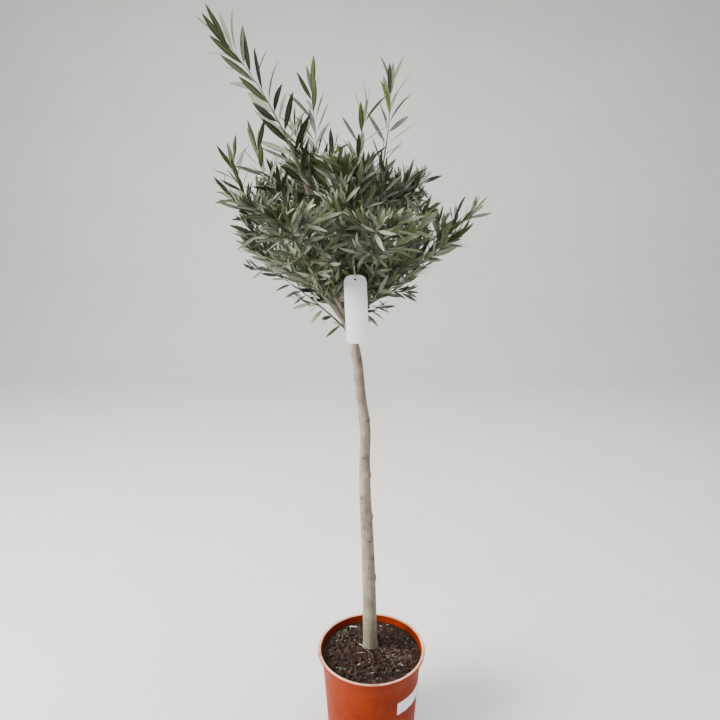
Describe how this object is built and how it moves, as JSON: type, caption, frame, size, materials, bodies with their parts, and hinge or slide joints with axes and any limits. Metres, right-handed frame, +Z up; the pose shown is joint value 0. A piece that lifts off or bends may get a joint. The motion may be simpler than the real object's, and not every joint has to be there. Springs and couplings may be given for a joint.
{
  "type": "potted olive tree",
  "caption": "Young olive tree, a half-standard with a clear bare stem and an open bushy head of narrow leaves, in a round plastic nursery pot with a hang tag.",
  "frame": {"origin": "centre of the pot's flat underside, on the surface that the pot stands on", "axes": "+Z up along the stem, -Y towards the front of the tree, where the tag hangs, +X to the right seen from the front"},
  "size_m": [0.6392, 0.601, 1.8364],
  "materials": {
    "pot_plastic": "satin terracotta orange",
    "compost": "rough dark bark compost",
    "bark": "smooth grey-beige bark",
    "foliage": "leathery grey-green leaves, silvery below",
    "tag_card": "smooth white, blank",
    "label_paper": "white, blank",
    "string": "thin pale string"
  },
  "bodies": {
    "root": {"pot": "pot_plastic", "soil": "compost", "trunk": "bark", "hang_tag": "tag_card", "tag_tie": "string", "pot_label": "label_paper", "bough_tall_left": "bark", "bough_tall_right": "bark", "bough_back_mid": "bark", "bough_front_mid": "bark", "bough_left_mid": "bark", "bough_right_arch": "bark", "bough_front_left": "bark", "bough_back_left": "bark", "bough_upright_left": "bark", "bough_left_upper": "bark", "bough_left_top": "bark", "bough_left_side": "bark", "bough_upright_centre": "bark", "bough_right_top": "bark", "bough_right_mid": "bark", "bough_front_right": "bark", "bough_back_right": "bark", "bough_right_back": "bark", "bough_upper_back_left": "bark", "bough_inner_top": "bark", "bough_lower_front": "bark", "bough_lower_right": "bark", "foliage_tall_left": "foliage", "foliage_tall_right": "foliage", "foliage_back_mid": "foliage", "foliage_front_mid": "foliage", "foliage_left_mid": "foliage", "foliage_right_arch": "foliage", "foliage_front_left": "foliage", "foliage_back_left": "foliage", "foliage_low_left": "foliage", "foliage_right_low": "foliage", "foliage_upright_left": "foliage", "foliage_left_upper": "foliage", "foliage_left_top": "foliage", "foliage_left_side": "foliage", "foliage_upright_centre": "foliage", "foliage_right_top": "foliage", "foliage_right_mid": "foliage", "foliage_front_right": "foliage", "foliage_back_right": "foliage", "foliage_right_back": "foliage", "foliage_upper_back_left": "foliage", "foliage_inner_left": "foliage", "foliage_inner_right": "foliage", "foliage_inner_front": "foliage", "foliage_inner_back": "foliage", "foliage_inner_top": "foliage", "foliage_lower_front": "foliage", "foliage_lower_right": "foliage"}
  },
  "joints": []
}
